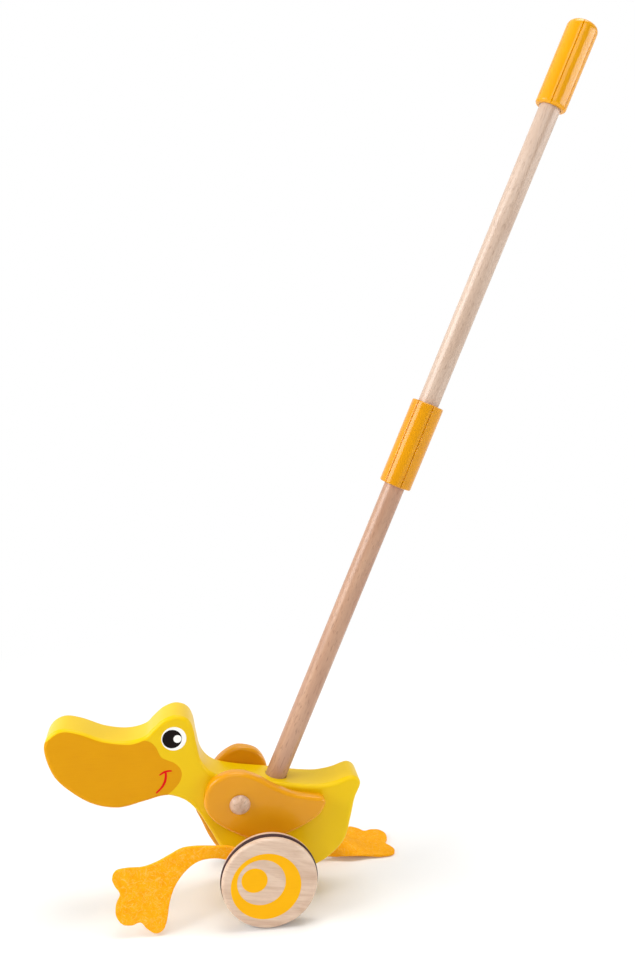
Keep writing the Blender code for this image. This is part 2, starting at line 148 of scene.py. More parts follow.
def drill(obj, radius, start, end, segments=48):
    start, end = Vector(start), Vector(end)
    bpy.ops.object.select_all(action="DESELECT")
    bpy.ops.mesh.primitive_cylinder_add(
        vertices=segments, radius=radius, depth=(end - start).length, location=(start + end) / 2,
        rotation=(end - start).to_track_quat("Z", "Y").to_euler(),
    )
    bit = bpy.context.object
    applyModifier(obj, "BOOLEAN", operation="DIFFERENCE", solver="EXACT", object=bit)
    bpy.data.objects.remove(bit, do_unlink=True)


saw = {
    "curveSteps": 8,
    "rimSteps": 5,
    "weld": 0.000002,
    "flat": 0.9999,                      # a face is on the board's side if its normal has this much Y
}


# a flat Bezier outline through the drawn knots, extruded and rounded, then stood up in the XZ plane
def sawOut(name, outlines, thickness, rim=0.0, offset=0.0):
    bpy.ops.object.select_all(action="DESELECT")
    bpy.ops.curve.primitive_bezier_circle_add()
    obj = bpy.context.object
    obj.name = obj.data.name = name
    curve = obj.data
    curve.dimensions = "2D"
    curve.fill_mode = "BOTH"
    curve.splines.clear()
    for outline in outlines:
        knots = [Vector((x, y, 0)) for x, y in outline]
        spline = curve.splines.new("BEZIER")
        spline.bezier_points.add(len(knots) - 1)
        spline.use_cyclic_u = True
        spline.resolution_u = saw["curveSteps"]
        for i, knot in enumerate(knots):
            lean = (knots[(i + 1) % len(knots)] - knots[i - 1]) / handlePart
            point = spline.bezier_points[i]
            point.handle_left_type = point.handle_right_type = "FREE"
            point.co = knot
            point.handle_left = knot - lean
            point.handle_right = knot + lean
    curve.extrude = thickness / 2 - rim
    curve.bevel_depth = rim
    curve.bevel_resolution = saw["rimSteps"]
    curve.offset = offset - rim
    bpy.ops.object.convert(target="MESH")
    obj = bpy.context.object
    place(obj, (0, 0, 0), (math.pi / 2, 0, 0))
    bpy.ops.object.mode_set(mode="EDIT")
    bpy.ops.mesh.select_all(action="SELECT")
    bpy.ops.mesh.remove_doubles(threshold=saw["weld"])
    if len(outlines) == 1:
        pick(obj, "FACE", lambda face: abs(face.normal.y) > saw["flat"])
        bpy.ops.mesh.dissolve_faces()
    bpy.ops.mesh.select_all(action="SELECT")
    bpy.ops.mesh.normals_make_consistent(inside=False)
    bpy.ops.object.mode_set(mode="OBJECT")
    return obj


def circleKnots(x, y, radius, count=24):
    turns = [2 * math.pi * i / count for i in range(count)]
    return [(x + radius * math.cos(t), y + radius * math.sin(t)) for t in turns]


# soft shading up to an angle in degrees, with the flat faces kept flat
def smoothOver(obj, angle=35):
    activate(obj)
    bpy.ops.object.shade_smooth_by_angle(angle=math.radians(angle))
    applyModifier(obj, "WEIGHTED_NORMAL", keep_sharp=True)


# gives a piece its finish and its body
def finishPiece(obj, body, material):
    obj.data.materials.clear()
    obj.data.materials.append(material)
    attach(obj, body)
    return obj


# Satin nitro paint sprayed on sanded wood: an even coat with soft cloudy depth, a fine orange peel,
# and the grain just felt under it
def paintedWood(name, base, deep, roughness, shine):
    grainLength, grainWidth, peelSize, cloudSize = 0.030, 0.0009, 0.0022, 0.040
    made, tree, shader = newMaterial(name)
    spot = addNode(tree, "TexCoord").outputs["Object"]
    cloud = addNode(tree, "TexNoise", {"Vector": spot, "Scale": 1 / cloudSize, "Detail": 3.0})
    drawn = addNode(tree, "Mapping", {
        "Vector": spot, "Scale": (1 / grainLength, 1 / grainWidth, 1 / grainWidth)})
    grain = addNode(tree, "TexNoise", {"Vector": drawn.outputs[0], "Scale": 1.0, "Detail": 2.0})
    peel = addNode(tree, "TexNoise", {"Vector": spot, "Scale": 1 / peelSize, "Detail": 1.0})
    cloudShare = addNode(tree, "MapRange", {
        "Value": cloud.outputs["Fac"], "From Min": 0.3, "From Max": 0.7, "To Max": 0.6})
    grainShare = addNode(tree, "MapRange", {
        "Value": grain.outputs["Fac"], "From Min": 0.35, "From Max": 0.75, "To Max": 0.06})
    share = addNode(tree, "Math", {
        0: cloudShare.outputs[0], 1: grainShare.outputs[0]}, operation="ADD", use_clamp=True)
    colour = addNode(tree, "Mix", {
        mixShare: share.outputs[0], mixFrom: hexColour(base), mixTo: hexColour(deep)},
        data_type="RGBA")
    rough = addNode(tree, "MapRange", {
        "Value": cloud.outputs["Fac"], "From Min": 0.3, "From Max": 0.7,
        "To Min": roughness, "To Max": roughness + 0.04})
    grainBump = addNode(tree, "Bump", {
        "Height": grain.outputs["Fac"], "Strength": 0.1, "Distance": 0.00001})
    peelBump = addNode(tree, "Bump", {
        "Height": peel.outputs["Fac"], "Strength": 0.3, "Distance": 0.00003,
        "Normal": grainBump.outputs[0]})
    setInputs(tree, shader, {
        "Base Color": colour.outputs[mixResult],
        "Roughness": rough.outputs[0],
        "Normal": peelBump.outputs[0],
        "Specular IOR Level": shine,
    })
    return made


# Pad-printed ink under the same varnish: opaque and level, with the wood's pores as faint specks
def printedInk(name, base, deep):
    poreLength, poreWidth, cloudSize = 0.012, 0.0007, 0.015     # coarse pores, so that they show
    made, tree, shader = newMaterial(name)
    spot = addNode(tree, "TexCoord").outputs["Object"]
    drawn = addNode(tree, "Mapping", {
        "Vector": spot, "Scale": (1 / poreLength, 1 / poreWidth, 1 / poreWidth)})
    pores = addNode(tree, "TexNoise", {"Vector": drawn.outputs[0], "Scale": 1.0, "Detail": 2.0})
    cloud = addNode(tree, "TexNoise", {"Vector": spot, "Scale": 1 / cloudSize, "Detail": 3.0})
    poreShare = addNode(tree, "MapRange", {
        "Value": pores.outputs["Fac"], "From Min": 0.5, "From Max": 0.8, "To Max": 0.5})
    cloudShare = addNode(tree, "MapRange", {
        "Value": cloud.outputs["Fac"], "From Min": 0.35, "From Max": 0.75, "To Max": 0.5})
    share = addNode(tree, "Math", {
        0: poreShare.outputs[0], 1: cloudShare.outputs[0]}, operation="ADD", use_clamp=True)
    colour = addNode(tree, "Mix", {
        mixShare: share.outputs[0], mixFrom: hexColour(base), mixTo: hexColour(deep)},
        data_type="RGBA")
    rough = addNode(tree, "MapRange", {"Value": cloud.outputs["Fac"], "To Min": 0.30, "To Max": 0.42})
    bump = addNode(tree, "Bump", {"Height": pores.outputs["Fac"], "Strength": 0.4, "Distance": 0.00004})
    setInputs(tree, shader, {
        "Base Color": colour.outputs[mixResult],
        "Roughness": rough.outputs[0],
        "Normal": bump.outputs[0],
        "Specular IOR Level": 0.1,
    })
    return made


# Clear-varnished beech: pale even wood with soft bands along the grain, short darker ray flecks
# and a low sheen; grain is the axis it runs along, before the turn
def varnishedBeech(
        name, pale, dark, fleck, turn, grain, bandWidth, bandShare, fleckShare, roughness, wave):
    # length and width of each mark; streaks and flecks are drawn coarse, so that they show
    marks = {"streak": (0.080, 0.0022), "band": (0.055, bandWidth), "fleck": (0.0042, 0.0008)}
    made, tree, shader = newMaterial(name)
    spot = addNode(tree, "TexCoord").outputs["Object"]
    turned = addNode(tree, "Mapping", {"Vector": spot, "Rotation": turn}, vector_type="TEXTURE")
    drawn = {}
    for mark, (length, width) in marks.items():
        scales = [1 / length if axis == grain else 1 / width for axis in "XYZ"]
        drawn[mark] = addNode(tree, "Mapping", {
            "Vector": turned.outputs[0], "Scale": scales}).outputs[0]
    streaks = addNode(tree, "TexNoise", {
        "Vector": drawn["streak"], "Scale": 1.0, "Detail": 4.0, "Roughness": 0.6, "Distortion": wave})
    bands = addNode(tree, "TexNoise", {
        "Vector": drawn["band"], "Scale": 1.0, "Detail": 3.0, "Distortion": 0.6 + wave})
    flecks = addNode(tree, "TexNoise", {"Vector": drawn["fleck"], "Scale": 1.0, "Detail": 1.0})
    streakTone = addNode(tree, "MapRange", {
        "Value": streaks.outputs["Fac"], "From Min": 0.3, "From Max": 0.7, "To Max": 0.45})
    bandTone = addNode(tree, "MapRange", {
        "Value": bands.outputs["Fac"], "From Min": 0.35, "From Max": 0.65, "To Max": bandShare})
    tone = addNode(tree, "Math", {
        0: streakTone.outputs[0], 1: bandTone.outputs[0]}, operation="ADD", use_clamp=True)
    wood = addNode(tree, "Mix", {
        mixShare: tone.outputs[0], mixFrom: hexColour(pale), mixTo: hexColour(dark)},
        data_type="RGBA")
    fleckTone = addNode(tree, "MapRange", {
        "Value": flecks.outputs["Fac"], "From Min": 0.58, "From Max": 0.72, "To Max": fleckShare})
    colour = addNode(tree, "Mix", {
        mixShare: fleckTone.outputs[0], mixFrom: wood.outputs[mixResult], mixTo: hexColour(fleck)},
        data_type="RGBA")
    rough = addNode(tree, "MapRange", {
        "Value": streaks.outputs["Fac"], "To Min": roughness, "To Max": roughness + 0.12})
    streakBump = addNode(tree, "Bump", {
        "Height": streaks.outputs["Fac"], "Strength": 0.5, "Distance": 0.00008})
    fleckBump = addNode(tree, "Bump", {
        "Height": fleckTone.outputs[0], "Strength": 0.5, "Distance": 0.00006,
        "Normal": streakBump.outputs[0]}, invert=True)
    setInputs(tree, shader, {
        "Base Color": colour.outputs[mixResult],
        "Roughness": rough.outputs[0],
        "Normal": fleckBump.outputs[0],
        "Specular IOR Level": 0.6,
    })
    return made


# Needle-punched polyester felt, 2 mm: matted fibres in every direction give a mottled, dull face
# and a soft bloom at grazing angles
def needledFelt(name, pale, base, deep):
    mottleSize, fibreLength, fibreWidth = 0.0034, 0.0030, 0.0008     # coarse, so that fibres show
    fibreTurns = (0.35, 1.4, 2.5)
    made, tree, shader = newMaterial(name)
    flat = addNode(tree, "Attribute", attribute_name="flatPlace").outputs["Vector"]
    mottle = addNode(tree, "TexNoise", {
        "Vector": flat, "Scale": 1 / mottleSize, "Detail": 5.0, "Roughness": 0.7})
    fibreSets = []
    for turn in fibreTurns:
        swung = addNode(tree, "Mapping", {
            "Vector": flat, "Rotation": (0, turn, 0)}, vector_type="TEXTURE")
        drawn = addNode(tree, "Mapping", {
            "Vector": swung.outputs[0], "Scale": (1 / fibreLength, 1 / fibreWidth, 1 / fibreWidth)})
        fibres = addNode(tree, "TexNoise", {
            "Vector": drawn.outputs[0], "Scale": 1.0, "Detail": 2.0, "Distortion": 1.2})
        fibreSets.append(fibres.outputs["Fac"])
    pair = addNode(tree, "Math", {0: fibreSets[0], 1: fibreSets[1]}, operation="MAXIMUM")
    mat = addNode(tree, "Math", {0: pair.outputs[0], 1: fibreSets[2]}, operation="MAXIMUM")
    paleShare = addNode(tree, "MapRange", {
        "Value": mat.outputs[0], "From Min": 0.58, "From Max": 0.74, "To Max": 0.75})
    deepShare = addNode(tree, "MapRange", {
        "Value": mottle.outputs["Fac"], "From Min": 0.42, "From Max": 0.66, "To Max": 0.8})
    ground = addNode(tree, "Mix", {
        mixShare: deepShare.outputs[0], mixFrom: hexColour(base), mixTo: hexColour(deep)},
        data_type="RGBA")
    colour = addNode(tree, "Mix", {
        mixShare: paleShare.outputs[0], mixFrom: ground.outputs[mixResult], mixTo: hexColour(pale)},
        data_type="RGBA")
    mottleBump = addNode(tree, "Bump", {
        "Height": mottle.outputs["Fac"], "Strength": 0.5, "Distance": 0.0007})
    fibreBump = addNode(tree, "Bump", {
        "Height": mat.outputs[0], "Strength": 0.6, "Distance": 0.0004, "Normal": mottleBump.outputs[0]})
    rough = addNode(tree, "MapRange", {"Value": mat.outputs[0], "To Min": 0.85, "To Max": 1.0})
    setInputs(tree, shader, {
        "Base Color": colour.outputs[mixResult],
        "Roughness": rough.outputs[0],
        "Normal": fibreBump.outputs[0],
        "Specular IOR Level": 0.05,
        "Sheen Weight": 0.12,
        "Sheen Roughness": 0.6,
        "Sheen Tint": hexColour("#FFD07A"),
    })
    return made


# Injection-moulded polypropylene: glossy skin with faint flow lines along the piece
def mouldedPlastic(name, base, deep, turn):
    flowLength, flowWidth, cloudSize = 0.040, 0.0025, 0.020
    made, tree, shader = newMaterial(name)
    spot = addNode(tree, "TexCoord").outputs["Object"]
    turned = addNode(tree, "Mapping", {"Vector": spot, "Rotation": turn}, vector_type="TEXTURE")
    drawn = addNode(tree, "Mapping", {
        "Vector": turned.outputs[0], "Scale": (1 / flowWidth, 1 / flowWidth, 1 / flowLength)})
    flow = addNode(tree, "TexNoise", {"Vector": drawn.outputs[0], "Scale": 1.0, "Detail": 2.0})
    cloud = addNode(tree, "TexNoise", {"Vector": spot, "Scale": 1 / cloudSize, "Detail": 2.0})
    share = addNode(tree, "MapRange", {
        "Value": cloud.outputs["Fac"], "From Min": 0.3, "From Max": 0.7, "To Max": 0.7})
    colour = addNode(tree, "Mix", {
        mixShare: share.outputs[0], mixFrom: hexColour(base), mixTo: hexColour(deep)},
        data_type="RGBA")
    rough = addNode(tree, "MapRange", {
        "Value": cloud.outputs["Fac"], "From Min": 0.3, "From Max": 0.7,
        "To Min": 0.15, "To Max": 0.18})
    bump = addNode(tree, "Bump", {"Height": flow.outputs["Fac"], "Strength": 0.1, "Distance": 0.000005})
    setInputs(tree, shader, {
        "Base Color": colour.outputs[mixResult],
        "Roughness": rough.outputs[0],
        "Normal": bump.outputs[0],
        "IOR": 1.49,
        "Specular IOR Level": 0.4,
    })
    return made


# Nitrile rubber ring: matt brown-black with a dusty bloom
def ringRubber(name, base, dust):
    bloomSize, gritSize = 0.006, 0.0008      # grit is drawn coarse, so that it shows
    made, tree, shader = newMaterial(name)
    spot = addNode(tree, "TexCoord").outputs["Object"]
    bloom = addNode(tree, "TexNoise", {"Vector": spot, "Scale": 1 / bloomSize, "Detail": 4.0})
    grit = addNode(tree, "TexNoise", {"Vector": spot, "Scale": 1 / gritSize, "Detail": 1.0})
    share = addNode(tree, "MapRange", {
        "Value": bloom.outputs["Fac"], "From Min": 0.4, "From Max": 0.8, "To Max": 0.6})
    colour = addNode(tree, "Mix", {
        mixShare: share.outputs[0], mixFrom: hexColour(base), mixTo: hexColour(dust)},
        data_type="RGBA")
    rough = addNode(tree, "MapRange", {"Value": bloom.outputs["Fac"], "To Min": 0.5, "To Max": 0.75})
    bump = addNode(tree, "Bump", {"Height": grit.outputs["Fac"], "Strength": 0.4, "Distance": 0.00005})
    setInputs(tree, shader, {
        "Base Color": colour.outputs[mixResult],
        "Roughness": rough.outputs[0],
        "Normal": bump.outputs[0],
        "Specular IOR Level": 0.3,
    })
    return made


# Bright drawn steel rod: fine lines along the rod
def drawnSteel(name, bright, dull):
    lineLength, lineWidth = 0.030, 0.0003    # lines are drawn coarse, so that they show
    made, tree, shader = newMaterial(name)
    spot = addNode(tree, "TexCoord").outputs["Object"]
    drawn = addNode(tree, "Mapping", {
        "Vector": spot, "Scale": (1 / lineWidth, 1 / lineLength, 1 / lineWidth)})
    lines = addNode(tree, "TexNoise", {"Vector": drawn.outputs[0], "Scale": 1.0, "Detail": 2.0})
    colour = addNode(tree, "Mix", {
        mixShare: lines.outputs["Fac"], mixFrom: hexColour(bright), mixTo: hexColour(dull)},
        data_type="RGBA")
    rough = addNode(tree, "MapRange", {"Value": lines.outputs["Fac"], "To Min": 0.25, "To Max": 0.45})
    setInputs(tree, shader, {
        "Base Color": colour.outputs[mixResult],
        "Roughness": rough.outputs[0],
        "Metallic": 1.0,
    })
    return made


stickTurn = (0, math.radians(22.1), 0)     # how the push stick leans back
wheelGrainTurn = (0, math.radians(9), 0)
yellowPaint = paintedWood("yellowSatinPaint", "#EBC400", "#E6BD00", roughness=0.30, shine=0.19)
orangePaint = paintedWood("orangeSatinPaint", "#E29B10", "#D68D03", roughness=0.17, shine=0.28)
beakInk = printedInk("beakInk", "#DC9A00", "#D79300")
wheelInk = printedInk("wheelInk", "#F7B500", "#F3AE00")
eyeWhite = printedInk("eyeWhiteInk", "#FBFBF9", "#F2F1EC")
eyeDark = printedInk("eyeDarkInk", "#140A08", "#0B0504")
smileInk = printedInk("smileRedInk", "#E0000C", "#D20009")
# the two rods are separate pieces of beech; the upper rod's paler tone is partly its own wood and partly
# painted light, for the brighter light near the top of the stick
lowerBeech = varnishedBeech(
    "beechLowerRod", "#C69D80", "#A97D64", "#8B624A", turn=stickTurn, grain="Z",
    bandWidth=0.010, bandShare=0.45, fleckShare=0.55, roughness=0.26, wave=0.1)
upperBeechPaleAndLit = varnishedBeech(
    "beechUpperRodPaleAndLit", "#D3BBA8", "#BB9D87", "#9B7C68", turn=stickTurn, grain="Z",
    bandWidth=0.010, bandShare=0.45, fleckShare=0.4, roughness=0.22, wave=0.1)
wheelBeech = varnishedBeech(
    "beechWheel", "#E4CBB5", "#BF9A7F", "#AB856B", turn=wheelGrainTurn, grain="X",
    bandWidth=0.013, bandShare=0.5, fleckShare=0.15, roughness=0.30, wave=1.6)
pegBeech = varnishedBeech(
    "beechPeg", "#D0B299", "#B28C72", "#86634A", turn=(0, 0, 0), grain="Y",
    bandWidth=0.005, bandShare=0.7, fleckShare=0.55, roughness=0.28, wave=0.4)
feltOrange = needledFelt("needledFelt", "#FFC764", "#FDAF12", "#F69D02")
# sleeve and grip are one plastic: the grip's copy is painted lighter and yellower than the sleeve's, as
# painted light for the brighter light at the top of the stick
sleevePlasticShadedCopy = mouldedPlastic("polypropyleneSleeveShadedCopy", "#DD9600", "#D68F00", stickTurn)
gripPlasticLitCopy = mouldedPlastic("polypropyleneGripLitCopy", "#E9A200", "#E39B00", stickTurn)
rubberDark = ringRubber("ringRubber", "#331A1C", "#58363A")
steel = drawnSteel("drawnSteel", "#C9C9C6", "#A9AAA9")
print("materials made")


board = {
    "thickness": 0.024,
    "rim": 0.0025,
    "ink": 0.00005,                      # a print stands this far off the paint
    "axleHole": 0.0033,
    "pegHole": 0.0038,
    "pegHoleDepth": 0.0083,
    "socket": 0.0067,
    "socketDepth": 0.0303,
    "socketSegments": 64,
    "stickEntry": (0.0079, 0.0488),      # where the stick's middle line leaves the duck's back
    "outline": [
        (-0.1302, 0.0774), (-0.1276, 0.0864), (-0.1199, 0.0909), (-0.1097, 0.0890), (-0.0960, 0.0833),
        (-0.0825, 0.0811), (-0.0718, 0.0833), (-0.0666, 0.0880), (-0.0606, 0.0931), (-0.0531, 0.0956),
        (-0.0463, 0.0932), (-0.0427, 0.0870), (-0.0408, 0.0765), (-0.0380, 0.0652), (-0.0310, 0.0574),
        (-0.0180, 0.0534), (0.0000, 0.0506), (0.0150, 0.0477), (0.0280, 0.0459), (0.0360, 0.0457),
        (0.0445, 0.0471), (0.0545, 0.0499), (0.0597, 0.0448), (0.0562, 0.0346), (0.0536, 0.0220),
        (0.0500, 0.0080), (0.0412, -0.0020), (0.0320, -0.0076), (0.0180, -0.0122), (0.0020, -0.0122),
        (-0.0140, -0.0060), (-0.0268, 0.0075), (-0.0333, 0.0192), (-0.0402, 0.0315), (-0.0467, 0.0394),
        (-0.0540, 0.0436), (-0.0613, 0.0448), (-0.0728, 0.0421), (-0.0875, 0.0390), (-0.1018, 0.0419),
        (-0.1143, 0.0498), (-0.1251, 0.0614),
    ],
}
wing = {
    "thickness": 0.008,
    "rim": 0.0025,
    "middle": 0.0163,                    # from the board's middle plane
    "pivot": (-0.0159, 0.0409),          # from the axle
    "hole": 0.0038,
    "restTurn": {"left": 0.125, "right": 90.65},     # degrees, where each wing leans on its spacer
    "outline": [
        (-0.0214, 0.0025), (-0.0180, 0.0128), (-0.0090, 0.0188), (0.0015, 0.0194), (0.0115, 0.0154),
        (0.0210, 0.0094), (0.0330, 0.0038), (0.0440, 0.0014), (0.0507, -0.0002), (0.0522, -0.0046),
        (0.0478, -0.0114), (0.0380, -0.0178), (0.0280, -0.0222), (0.0210, -0.0255), (0.0150, -0.0268),
        (0.0085, -0.0252), (0.0020, -0.0219), (-0.0070, -0.0170), (-0.0145, -0.0116), (-0.0196, -0.0048),
    ],
}
half = board["thickness"] / 2
pivotX, pivotZ = wing["pivot"]
stickEntry = Vector((board["stickEntry"][0], 0, board["stickEntry"][1]))
alongStick = Vector((math.sin(stickTurn[1]), 0, math.cos(stickTurn[1])))

duck = sawOut("duck_board", [board["outline"]], board["thickness"], board["rim"], -2 * board["ink"])
socketFloor = stickEntry - alongStick * board["socketDepth"]
socketMouth = stickEntry + alongStick * board["thickness"]
drill(duck, board["socket"], socketFloor, socketMouth, board["socketSegments"])
drill(duck, board["axleHole"], (0, -board["thickness"], 0), (0, board["thickness"], 0))
for outward in sides.values():
    pegFloor = (pivotX, outward * (half - board["pegHoleDepth"]), pivotZ)
    drill(duck, board["pegHole"], pegFloor, (pivotX, outward * board["thickness"], pivotZ))
smoothOver(duck)
place(duck, axle)
finishPiece(duck, "duck", yellowPaint)
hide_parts("duck_body")
print("board cut,", len(duck.data.polygons), "faces")


# what is printed on the head, drawn from the axle like the board
face = {
    "wrap": 0.0014,                      # how far the beak's colour runs over the rounded rim
    "beak": [
        (-0.0715, 0.0812), (-0.0677, 0.0797), (-0.0649, 0.0763), (-0.0636, 0.0732), (-0.0619, 0.0700),
        (-0.0587, 0.0681), (-0.0545, 0.0661), (-0.0516, 0.0632), (-0.0502, 0.0600), (-0.0503, 0.0568),
        (-0.0518, 0.0531), (-0.0549, 0.0494), (-0.0585, 0.0462), (-0.0640, 0.0410), (-0.0880, 0.0340),
        (-0.1160, 0.0430), (-0.1345, 0.0630), (-0.1350, 0.0790), (-0.1285, 0.0838), (-0.1200, 0.0892),
        (-0.1099, 0.0875), (-0.0962, 0.0818), (-0.0825, 0.0793), (-0.0760, 0.0799),
    ],
    "spread": 0.00014,                   # the smile's ink runs this far past its drawn lines
    "layers": {                          # how many inks thick each print stands
        "eye": 1, "pupil": 2, "glint": 3, "smileCorner": 2, "smileLine": 2.5},
    "eye": (-0.0543, 0.0814, 0.0074),
    "pupil": (-0.0554, 0.0813, 0.0058),
    "glint": (-0.0522, 0.0812, 0.0024),
    "smileCorner": [
        (-0.0633, 0.0592), (-0.0618, 0.0605), (-0.0602, 0.0613), (-0.0583, 0.0616), (-0.0562, 0.0614),
        (-0.0562, 0.0609), (-0.0582, 0.0607), (-0.0599, 0.0603), (-0.0615, 0.0596), (-0.0631, 0.0588),
    ],
    "smileLine": [
        (-0.0605, 0.0609), (-0.0601, 0.0595), (-0.0602, 0.0575), (-0.0607, 0.0552), (-0.0617, 0.0528),
        (-0.0633, 0.0504), (-0.0655, 0.0482), (-0.0652, 0.0476), (-0.0627, 0.0497), (-0.0608, 0.0521),
        (-0.0596, 0.0547), (-0.0591, 0.0573), (-0.0591, 0.0596), (-0.0597, 0.0610),
    ],
}


# a print on one side, at the surface's distance from the board's middle plane
def layInk(name, outlines, outward, surface, height, body, material, spread=0.0):
    ink = sawOut(name, outlines, 2 * height, offset=spread)
    place(ink, (axle.x, axle.y + outward * surface, axle.z))
    smoothOver(ink)
    return finishPiece(ink, body, material)


ink, layers = board["ink"], face["layers"]
headPrints = {
    "eye_white": (circleKnots(*face["eye"]), layers["eye"], eyeWhite, 0.0),
    "eye_pupil": (circleKnots(*face["pupil"]), layers["pupil"], eyeDark, 0.0),
    "eye_glint": (circleKnots(*face["glint"]), layers["glint"], eyeWhite, 0.0),
    "smile_corner": (face["smileCorner"], layers["smileCorner"], smileInk, face["spread"]),
    "smile_line": (face["smileLine"], layers["smileLine"], smileInk, face["spread"]),
}
for side, outward in sides.items():
    printThickness = board["thickness"] + 2 * ink
    beak = sawOut("beak_print_" + side, [board["outline"]], printThickness, board["rim"], -ink)
    stencil = sawOut("stencil", [face["beak"]], 2 * face["wrap"])
    place(stencil, (0, outward * half, 0))
    applyModifier(beak, "BOOLEAN", operation="INTERSECT", solver="EXACT", object=stencil)
    bpy.data.objects.remove(stencil, do_unlink=True)
    smoothOver(beak)
    place(beak, axle)
    finishPiece(beak, "duck", beakInk)
    for name, (outline, layer, material, spread) in headPrints.items():
        layInk(name + "_" + side, [outline], outward, half, layer * ink, "duck", material, spread)
print("head printed")


peg = {
    "shank": 0.0035,
    "chamfer": 0.0006,
    "shankStart": 0.004,                 # heights are from the board's middle plane
    "seat": 0.0206,
    "head": 0.00625,
    "edge": 0.0003,
    "dome": 0.0046,
    "domeSteps": 14,
    "tip": 0.0002,
    "segments": 64,
}


# a shank with a chamfered foot, then a head that ends in part of a ball
def pegRings():
    ball = (peg["head"] ** 2 + peg["dome"] ** 2) / (2 * peg["dome"])
    halfAngle = math.acos(1 - peg["dome"] / ball)
    seat, edge = peg["seat"], peg["edge"]
    rings = [
        (peg["shankStart"], peg["shank"] - peg["chamfer"]),
        (peg["shankStart"] + peg["chamfer"], peg["shank"]),
        (seat, peg["shank"]), (seat, peg["head"] - edge), (seat + edge, peg["head"]),
    ]
    for step in range(1, peg["domeSteps"]):
        turn = halfAngle * (1 - step / peg["domeSteps"])
        height = seat + peg["dome"] - ball * (1 - math.cos(turn))
        if height > seat + edge:
            rings.append((height, ball * math.sin(turn)))
    return rings + [(seat + peg["dome"], peg["tip"])]


for side, outward in sides.items():
    pivot = axle + Vector((pivotX, 0, pivotZ))
    flap = sawOut("wing_" + side, [wing["outline"]], wing["thickness"], wing["rim"])
    drill(flap, wing["hole"], (0, -wing["thickness"], 0), (0, wing["thickness"], 0))
    smoothOver(flap)
    place(flap, (0, outward * wing["middle"], 0))
    place(flap, pivot, (0, math.radians(wing["restTurn"][side]), 0))
    finishPiece(flap, side + "_wing", orangePaint)
    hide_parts(side + "_wing")

    button = turnOnLathe("wing_peg_" + side, pegRings(), peg["segments"])
    smoothOver(button)
    place(button, pivot, (-outward * math.pi / 2, 0, 0))
    finishPiece(button, "duck", pegBeech)
    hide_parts(side + "_wing_peg")
print("wings hung")


wheel = {
    "radius": 0.0285,
    "inner": 0.0310,                     # distances from the board's middle plane
    "middle": 0.0360,
    "outer": 0.04095,                    # a print's thickness inside the outer face
    "rim": 0.002,
    "bore": 0.0033,
    "boreFloor": 0.0380,
    "grooveHalf": 0.0019,
    "grooveRadius": 0.0257,
    "segments": 128,
}
ring = {
    "radius": 0.0276,
    "section": 0.00155,
    "steps": 24,
    "mouldLine": 0.00005,                # how far the moulding line stands out
    "mouldWidth": 0.0002,
    "mouldPlane": 0.00001,               # its crest is this near to the ring's middle plane
    "edge": 0.999,                       # the outside starts at this share of the section
}
spacer = {
    "radius": 0.0138,
    "inner": 0.0123,
    "outer": 0.0284,
    "rim": 0.0015,
    "bore": 0.0033,
    "segments": 96,
}
# the printed circles: their middles from the axle, and their radii
spots = {
    "disc": (-0.0023, -0.0011, 0.0208),
    "hole": (-0.0050, 0.0017, 0.0143),
    "dot": (-0.0091, 0.0033, 0.0077),
    "knots": 32,
}


# from the floor of the bore over the inner face, the groove and the outer face
def wheelRings():
    low, high = wheel["middle"] - wheel["grooveHalf"], wheel["middle"] + wheel["grooveHalf"]
    rings = [(wheel["boreFloor"], wheel["bore"]), (wheel["inner"], wheel["bore"])]
    rings += roundRim(wheel["inner"], wheel["radius"], wheel["rim"], True)
    rings += [(low, wheel["radius"]), (low, wheel["grooveRadius"])]
    rings += [(high, wheel["grooveRadius"]), (high, wheel["radius"])]
    return rings + roundRim(wheel["outer"], wheel["radius"], wheel["rim"], False)


# a torus with the thin moulding line that such a ring has round its outside
def mouldRing(name):
    bpy.ops.object.select_all(action="DESELECT")
    bpy.ops.mesh.primitive_torus_add(
        major_radius=ring["radius"], minor_radius=ring["section"],
        major_segments=wheel["segments"], minor_segments=ring["steps"])
    obj = bpy.context.object
    obj.name = obj.data.name = name
    outerEdge = ring["radius"] + ring["section"] * ring["edge"]
    grow = 1 + ring["mouldLine"] / outerEdge
    bpy.ops.object.mode_set(mode="EDIT")
    pick(obj, "EDGE", lambda edge: all(vert.co.xy.length > outerEdge for vert in edge.verts))
    bpy.ops.mesh.bevel(offset=ring["mouldWidth"] / 2, segments=2, affect="EDGES")
    pick(obj, "EDGE", lambda edge: all(
        vert.co.xy.length > outerEdge and abs(vert.co.z) < ring["mouldPlane"] for vert in edge.verts))
    bpy.ops.transform.resize(value=(grow, grow, 1), center_override=(0, 0, 0))
    bpy.ops.object.mode_set(mode="OBJECT")
    return obj


